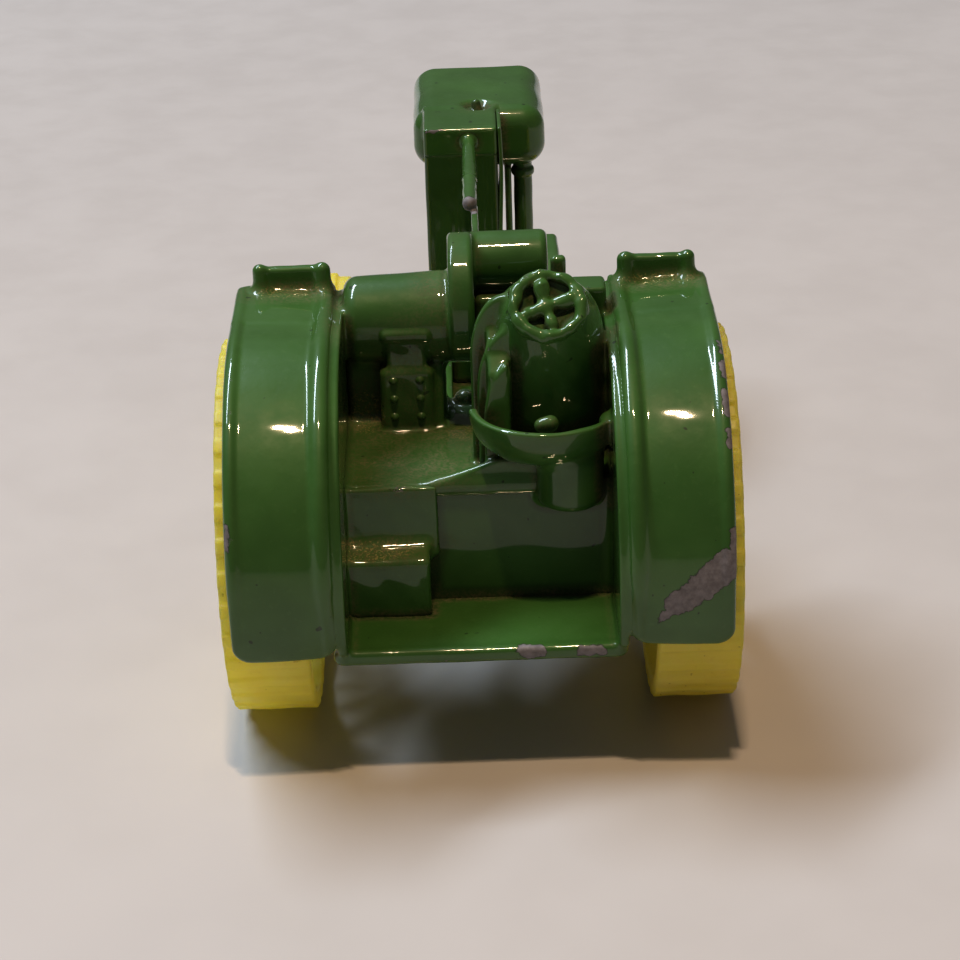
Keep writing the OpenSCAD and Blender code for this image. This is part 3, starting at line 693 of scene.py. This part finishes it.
# worn places: points along each and its half width, mm
CHIPS = [
    ([(13.05, -10.75, 14.1), (13.0, -11.2, 12.7)], 0.34),
    ([(12.75, -11.1, 12.5), (12.1, -11.2, 12.0), (11.3, -11.3, 11.3)], 0.8),
    ([(11.3, -11.3, 11.3), (10.6, -11.3, 10.7), (10.0, -11.3, 10.25)], 0.68),
    ([(10.0, -11.3, 10.1), (9.3, -11.3, 9.5)], 0.34),
    ([(9.3, -11.3, 9.5), (8.95, -11.2, 8.5)], 0.16),
    ([(12.95, -2.5, 21.5), (12.98, -3.4, 21.1)], 0.2),
    ([(13.0, -4.2, 20.8), (13.02, -5.0, 20.4)], 0.28),
    ([(13.0, -6.1, 19.9), (13.02, -7.0, 19.2)], 0.3),
    ([(13.02, -7.8, 18.5), (13.0, -8.4, 17.9)], 0.22),
    ([(-13.05, -10.3, 15.2), (-13.05, -10.7, 14.2)], 0.22),
    ([(2.1, -10.2, 7.35), (2.9, -10.2, 7.3)], 0.42),
    ([(5.1, -10.2, 7.25), (6.1, -10.2, 7.2)], 0.3),
    ([(-2.5, 26.95, 23.9), (-1.6, 26.95, 24.0)], 0.14),
    ([tuple(ROD_TIP - (0, 0.3, 0)), tuple(ROD_TIP + (0, 0.35, 0))], 0.5),
]


def chip_distance(pts):
    d = np.full(len(pts), 2.0)
    p = tuple(pts.T)
    for line, r in CHIPS:
        for a, b in zip(line, line[1:]):
            d = np.minimum(d, capsule(p, a, b, r))
    return d + 0.1 * wave(p, 0.9, 3) + 0.05 * wave(p, 0.37, 8)


# dusty places: centre, radii, amount
DUST = [
    ((-4.0, 0.0, 14.3), (4.4, 5.5, 0.7), 0.74),
    ((-6.1, 3.6, 15.2), (1.6, 2.4, 1.5), 0.95),
    ((-1.9, 6.0, 21.5), (1.2, 3.5, 3.5), 0.6),
    ((-6.3, -4.8, 10.9), (3.9, 1.8, 0.6), 1.0),
    ((-10.0, 5.8, 21.7), (3.2, 1.1, 0.4), 0.9),
    ((10.3, 5.8, 21.7), (3.2, 1.1, 0.4), 0.9),
    ((2.6, 8.0, 20.5), (3.0, 3.5, 1.2), 0.6),
    ((3.6, -5.6, 17.8), (1.5, 0.9, 0.8), 0.7),
    ((-3.0, 3.2, 17.5), (2.2, 1.4, 3.4), 0.5),
    ((-0.8, 2.5, 14.4), (1.4, 1.4, 0.8), 0.85),
    ((-0.6, 6.8, 14.6), (1.1, 1.2, 0.6), 1.0),
    ((8.2, -3.0, 18.8), (0.7, 2.5, 1.6), 0.5),
    ((-7.4, 3.0, 20.0), (0.6, 3.0, 2.6), 0.74),
    ((0.8, 31.6, 23.6), (1.2, 1.4, 0.5), 0.55),
]


def dust_field(pts, cavity):
    d = np.clip((cavity - 0.25) * 1.6, 0, 0.7)
    for c, r, amount in DUST:
        q = np.sqrt(sum(((pts[:, i] - c[i]) / r[i]) ** 2 for i in range(3)))
        d = np.maximum(d, amount * np.clip(1.6 - q, 0, 1))
    return d


def build(name):
    _, near, flare, cell = PIECES[name]
    lo, hi = BOXES[name]
    margin = MARGIN.get(name, REACH_IN_FLARE * flare + 0.3 if near else 0.25)
    shape = fused(name)
    pts, quads = mesh_field(shape, lo - margin, hi + margin, cell)
    mesh = bpy.data.meshes.new(name + "_skin")
    world = (pts + ORIGIN) * MM
    mesh.vertices.add(len(world))
    mesh.vertices.foreach_set("co", world.astype(np.float32).ravel())
    mesh.loops.add(quads.size)
    mesh.loops.foreach_set("vertex_index", quads.astype(np.int32).ravel())
    mesh.polygons.add(len(quads))
    mesh.polygons.foreach_set("loop_start", np.arange(0, quads.size, 4, dtype=np.int32))
    mesh.update(calc_edges=True)
    mesh.validate()
    v0, v1, v2, v3 = (world[quads[:, i].astype(int)] for i in range(4))
    volume = (v0 * np.cross(v1, v2)).sum() + (v0 * np.cross(v2, v3)).sum()
    if volume < 0:
        mesh.flip_normals()
    mesh.polygons.foreach_set("use_smooth", np.ones(len(mesh.polygons), bool))
    obj = bpy.data.objects.new(name + "_cast" if name not in YELLOW else name + "_moulded", mesh)
    bpy.context.scene.collection.objects.link(obj)
    if name not in YELLOW:
        g, bend = gradient(shape, pts, 0.12, bend=True)
        nrm = g / np.maximum(np.linalg.norm(g, axis=1), 1e-6)[:, None]
        cavity = 1 - np.clip(everything(pts + nrm * CAVITY_REACH) / CAVITY_REACH, 0, 1)
        # the cavity layer darkens the paint as painted shade, raised further on the pieces given extra
        # painted shade
        layers = {"cavity": np.clip(cavity + EXTRA_PAINTED_SHADE.get(name, 0), 0, 1),
                  "edge": np.clip(bend / EDGE_BEND, -1, 1),
                  "chip": chip_distance(pts), "dust": dust_field(pts, cavity)}
        for key, values in layers.items():
            a = mesh.attributes.new(key, "FLOAT", "POINT")
            a.data.foreach_set("value", values.astype(np.float32))
    return obj


# ---------------------------------------------------------------- materials
class Nodes:
    """small wrapper for building node trees"""

    def __init__(self, name):
        self.mat = bpy.data.materials.new(name)
        self.mat.use_nodes = True
        self.tree = self.mat.node_tree
        self.bsdf = self.tree.nodes["Principled BSDF"]
        self.out = self.tree.nodes["Material Output"]

    def new(self, kind, **settings):
        node = self.tree.nodes.new(kind)
        for k, v in settings.items():
            setattr(node, k, v)
        return node

    def link(self, a, b):
        self.tree.links.new(a, b)

    def coord(self):
        if not hasattr(self, "_coord"):
            self._coord = self.new("ShaderNodeTexCoord").outputs["Object"]
        return self._coord

    def noise(self, scale, detail=3.0, rough=0.5, stretch=None):
        """fine noise: scale is in features per mm"""
        n = self.new("ShaderNodeTexNoise")
        n.inputs["Scale"].default_value = scale / MM
        n.inputs["Detail"].default_value = detail
        n.inputs["Roughness"].default_value = rough
        src = self.coord()
        if stretch:
            m = self.new("ShaderNodeMapping")
            m.inputs["Scale"].default_value = stretch
            self.link(src, m.inputs["Vector"])
            src = m.outputs["Vector"]
        self.link(src, n.inputs["Vector"])
        return n.outputs["Fac"]

    def ramp(self, value, lo, hi, a=0.0, b=1.0, smooth=True):
        m = self.new("ShaderNodeMapRange", interpolation_type="SMOOTHSTEP" if smooth else "LINEAR")
        m.inputs["From Min"].default_value = lo
        m.inputs["From Max"].default_value = hi
        m.inputs["To Min"].default_value = a
        m.inputs["To Max"].default_value = b
        self.link(value, m.inputs["Value"])
        return m.outputs["Result"]

    def math(self, op, a, b):
        m = self.new("ShaderNodeMath", operation=op)
        for i, v in enumerate((a, b)):
            if isinstance(v, (int, float)):
                m.inputs[i].default_value = v
            else:
                self.link(v, m.inputs[i])
        return m.outputs[0]

    def mix(self, fac, a, b):
        m = self.new("ShaderNodeMix", data_type="RGBA")
        for socket, v in ((m.inputs["Factor"], fac), (m.inputs["A"], a), (m.inputs["B"], b)):
            if hasattr(v, "is_linked"):
                self.link(v, socket)
            elif isinstance(v, (int, float)):
                socket.default_value = v
            else:
                socket.default_value = (*v, 1.0)
        return [o for o in m.outputs if o.type == "RGBA"][0]

    def attribute(self, name):
        return self.new("ShaderNodeAttribute", attribute_name=name).outputs["Fac"]

    def bump(self, height, distance, strength=1.0, under=None):
        b = self.new("ShaderNodeBump")
        b.inputs["Distance"].default_value = distance * MM
        b.inputs["Strength"].default_value = strength
        self.link(height, b.inputs["Height"])
        if under is not None:
            self.link(under, b.inputs["Normal"])
        return b.outputs["Normal"]


def enamel():
    m = Nodes("green_enamel_worn")
    cavity, edge, chip, dust = (m.attribute(n) for n in ("cavity", "edge", "chip", "dust"))
    broad = m.noise(0.16, 3, 0.55)
    fine = m.noise(2.6, 4, 0.6)
    grit = m.noise(6.0, 3, 0.6)
    ragged = m.noise(3.2, 5, 0.65)
    # paint
    colour = m.mix(m.ramp(broad, 0.35, 0.68), (0.042, 0.116, 0.022), (0.058, 0.148, 0.032))
    colour = m.mix(m.ramp(fine, 0.55, 0.75, 0, 0.25), colour, (0.085, 0.18, 0.05))
    # painted shade: the green darkens in hollows and corners, where shade falls, and on the pieces given
    # extra painted shade
    colour = m.mix(m.ramp(cavity, 0.35, 0.9, 0, 0.6), colour, (0.016, 0.034, 0.008))
    # dust lies in the corners and on the flats
    patch = m.ramp(m.noise(1.1, 5, 0.65), 0.32, 0.66)
    speck = m.ramp(grit, 0.38, 0.64, 0.2, 1.0)
    dusty = m.math("MULTIPLY", m.math("MULTIPLY", dust, speck), m.ramp(patch, 0, 1, 0.6, 1.0))
    dust_colour = m.mix(m.ramp(m.noise(0.5, 2), 0.4, 0.6), (0.12, 0.115, 0.055), (0.19, 0.15, 0.09))
    colour = m.mix(m.math("MULTIPLY", dusty, 0.8), colour, dust_colour)
    gold = m.math("MULTIPLY", m.ramp(dust, 0.75, 0.95), m.ramp(m.noise(8.0, 3, 0.6), 0.53, 0.62))
    colour = m.mix(m.math("MULTIPLY", gold, 0.7), colour, (0.30, 0.26, 0.10))
    # dark pits
    pits = m.ramp(m.noise(1.7, 1, 0.4), 0.765, 0.79)
    colour = m.mix(m.math("MULTIPLY", pits, 0.75), colour, (0.012, 0.02, 0.008))
    # paint missing down to the grey zinc
    ragged_chip = m.math("ADD", chip, m.ramp(ragged, 0.3, 0.7, 0.07, -0.07, smooth=False))
    bare = m.ramp(ragged_chip, -0.012, 0.012, 1.0, 0.0)
    rub = m.math("MULTIPLY", m.ramp(edge, 0.35, 0.75), m.ramp(m.noise(0.75, 6, 0.7), 0.63, 0.67))
    bare = m.math("MAXIMUM", bare, m.math("MULTIPLY", rub, 0.9))
    zinc = m.mix(m.ramp(m.noise(2.4, 5, 0.65), 0.3, 0.7), (0.175, 0.162, 0.168), (0.27, 0.252, 0.26))
    colour = m.mix(bare, colour, zinc)
    # painted shadow: a dark band along the edge of each chip, standing in for the shade of the paint's step
    chip_edge_painted_shadow = m.math("MULTIPLY", m.ramp(ragged_chip, 0.0, 0.06, 1.0, 0.0),
                      m.ramp(ragged_chip, -0.05, 0.0, 0.0, 1.0))
    colour = m.mix(m.math("MULTIPLY", chip_edge_painted_shadow, 0.55), colour, (0.02, 0.04, 0.015))
    m.link(colour, m.bsdf.inputs["Base Color"])
    # gloss
    rough = m.ramp(m.noise(0.9, 4, 0.6), 0.3, 0.75, 0.40, 0.55)
    rough = m.math("ADD", rough, m.math("MULTIPLY", dusty, 0.38))
    rough = m.math("ADD", rough, m.math("MULTIPLY", bare, 0.22))
    m.link(m.math("MINIMUM", rough, 0.85), m.bsdf.inputs["Roughness"])
    m.link(m.math("MULTIPLY", bare, 0.35), m.bsdf.inputs["Metallic"])
    gloss = m.math("SUBTRACT", 1.0, m.math("MAXIMUM", dusty, bare))
    m.link(m.math("MAXIMUM", gloss, 0.0), m.bsdf.inputs["Coat Weight"])
    m.bsdf.inputs["Specular IOR Level"].default_value = 0.2
    m.bsdf.inputs["Coat Roughness"].default_value = 0.05
    m.bsdf.inputs["Coat IOR"].default_value = 1.5
    # relief: sagging paint, grit in it, the step down at a chip
    relief = m.bump(m.noise(0.5, 3, 0.5), 0.10, 0.4)
    relief = m.bump(fine, 0.02, 0.2, relief)
    relief = m.bump(grit, 0.012, 0.15, relief)
    relief = m.bump(m.math("SUBTRACT", 1.0, bare), 0.05, 0.9, relief)
    m.link(relief, m.bsdf.inputs["Normal"])
    return m.mat


def plastic():
    m = Nodes("yellow_plastic_moulded")
    broad = m.noise(0.22, 3, 0.5)
    colour = m.mix(m.ramp(broad, 0.35, 0.7), (0.94, 0.82, 0.17), (0.96, 0.87, 0.26))
    grime = m.ramp(m.noise(1.3, 5, 0.7), 0.58, 0.78)
    colour = m.mix(m.math("MULTIPLY", grime, 0.32), colour, (0.50, 0.34, 0.06))
    specks = m.ramp(m.noise(3.4, 1, 0.4), 0.74, 0.77)
    colour = m.mix(m.math("MULTIPLY", specks, 0.6), colour, (0.16, 0.10, 0.04))
    m.link(colour, m.bsdf.inputs["Base Color"])
    m.link(m.ramp(m.noise(1.6, 4, 0.6), 0.3, 0.75, 0.34, 0.52), m.bsdf.inputs["Roughness"])
    m.bsdf.inputs["Subsurface Weight"].default_value = 0.7
    m.bsdf.inputs["Subsurface Radius"].default_value = (1.0, 0.8, 0.15)
    m.bsdf.inputs["Subsurface Scale"].default_value = 1.6 * MM
    relief = m.bump(m.noise(0.9, 3, 0.5), 0.06, 0.35)
    relief = m.bump(m.noise(5.0, 3, 0.6), 0.012, 0.35, relief)
    m.link(relief, m.bsdf.inputs["Normal"])
    through = m.new("ShaderNodeBsdfTranslucent")
    through.inputs["Color"].default_value = (0.98, 0.88, 0.27, 1)
    blend = m.new("ShaderNodeMixShader")
    blend.inputs["Fac"].default_value = 0.45
    m.link(m.bsdf.outputs["BSDF"], blend.inputs[1])
    m.link(through.outputs["BSDF"], blend.inputs[2])
    m.link(blend.outputs["Shader"], m.out.inputs["Surface"])
    return m.mat


def steel():
    m = Nodes("bare_steel_drawn")
    colour = m.mix(m.ramp(m.noise(1.2, 4, 0.6), 0.3, 0.7), (0.36, 0.35, 0.335), (0.55, 0.54, 0.52))
    colour = m.mix(m.ramp(m.noise(2.2, 5, 0.7), 0.62, 0.74, 0, 0.6), colour, (0.16, 0.10, 0.06))
    m.link(colour, m.bsdf.inputs["Base Color"])
    m.bsdf.inputs["Metallic"].default_value = 1.0
    m.link(m.ramp(m.noise(2.0, 4, 0.6), 0.3, 0.7, 0.28, 0.48), m.bsdf.inputs["Roughness"])
    m.link(m.bump(m.noise(6.0, 3, 0.6, stretch=(0.15, 1, 1)), 0.012, 0.5), m.bsdf.inputs["Normal"])
    return m.mat


def table():
    m = Nodes("pale_table")
    colour = m.mix(m.ramp(m.noise(0.02, 4, 0.6), 0.3, 0.7), (0.520, 0.485, 0.462), (0.547, 0.511, 0.487))
    m.link(colour, m.bsdf.inputs["Base Color"])
    m.link(m.ramp(m.noise(0.15, 4, 0.6), 0.3, 0.7, 0.42, 0.55), m.bsdf.inputs["Roughness"])
    m.link(m.bump(m.noise(1.5, 3, 0.6), 0.01, 0.1), m.bsdf.inputs["Normal"])
    return m.mat


GREEN, PLASTIC, STEEL = enamel(), plastic(), steel()

# ---------------------------------------------------------------- build the pieces
body_of = {}
for body, members in frame["record"]["behaviour"]["bodies"].items():
    for n in members:
        body_of[n] = body

for name in PIECES:
    piece = build(name)
    is_wheel = name in YELLOW
    piece.data.materials.append(PLASTIC if is_wheel else GREEN)
    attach(piece, body_of[name])
    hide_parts(name)

for name, node in frame["nodes"].items():
    if name not in PIECES:
        node.data.materials.clear()
        node.data.materials.append(STEEL)

# ---------------------------------------------------------------- table, light, camera
bpy.ops.mesh.primitive_plane_add(size=3.0, location=(0, 0, 0))
ground = bpy.context.object
ground.name = "table_top"
ground.data.materials.append(table())


AIM = Vector((0.0, 0.0, 0.01))


def area_light(name, place, size, power, colour):
    """light aimed at the toy: a disc, or a rectangle where size has two numbers"""
    data = bpy.data.lights.new(name, "AREA")
    data.shape = "RECTANGLE" if len(size) == 2 else "DISK"
    data.size = size[0]
    if len(size) == 2:
        data.size_y = size[1]
    data.energy = power
    data.color = colour
    light = bpy.data.objects.new(name, data)
    light.location = place
    light.rotation_euler = (AIM - Vector(place)).to_track_quat("-Z", "Y").to_euler()
    bpy.context.scene.collection.objects.link(light)


COOL, WARM, SURROUND = (0.74, 0.86, 1.0), (1.0, 0.72, 0.46), (1.0, 0.96, 0.92, 1)
LAMP_SIZE, LAMP_POWER, LAMP_Z = 0.015, 0.37, 0.50
# a long cool softbox to the left, and three small warm lamps over the camera's side
area_light("softbox_left", (-0.38, 0.28, 0.80), (0.74, 0.14), 7.4, COOL)
for label, x, y in (("a", -0.006, -0.100), ("b", 0.006, -0.103), ("c", 0.012, -0.118)):
    area_light("lamp_" + label, (x, y, LAMP_Z), (LAMP_SIZE,), LAMP_POWER, WARM)
world = bpy.data.worlds.new("studio")
world.use_nodes = True
surround = world.node_tree.nodes["Background"]
surround.inputs["Color"].default_value = SURROUND
surround.inputs["Strength"].default_value = 0.09
bpy.context.scene.world = world
bpy.context.scene.view_settings.view_transform = "Standard"
bpy.context.scene.view_settings.look = "Medium High Contrast"

ELEVATION, ROLL, DISTANCE = math.radians(26.0), math.radians(-2.0), 143.2 * MM
SENSOR = 36.0
FOCAL_RATIO = 2.69896                  # focal length over frame width
ahead = Vector((0, math.cos(ELEVATION), -math.sin(ELEVATION)))
right = Vector((1, 0, 0))
up = Vector((0, math.sin(ELEVATION), math.cos(ELEVATION)))
right_r = right * math.cos(ROLL) + up * math.sin(ROLL)
up_r = -right * math.sin(ROLL) + up * math.cos(ROLL)
eye = Vector((0, AXLE_Y, AXLE_Z * MM)) - ahead * DISTANCE
camera_data = bpy.data.cameras.new("camera")
camera_data.sensor_width = SENSOR
camera_data.lens = SENSOR * FOCAL_RATIO
camera_data.shift_x = 0.0008
camera_data.shift_y = 0.0376
camera_data.clip_start = 0.005
camera_data.clip_end = 20
camera = bpy.data.objects.new("camera", camera_data)
camera.matrix_world = Matrix((
    (right_r.x, up_r.x, -ahead.x, eye.x),
    (right_r.y, up_r.y, -ahead.y, eye.y),
    (right_r.z, up_r.z, -ahead.z, eye.z),
    (0, 0, 0, 1)))
bpy.context.scene.collection.objects.link(camera)
bpy.context.scene.camera = camera
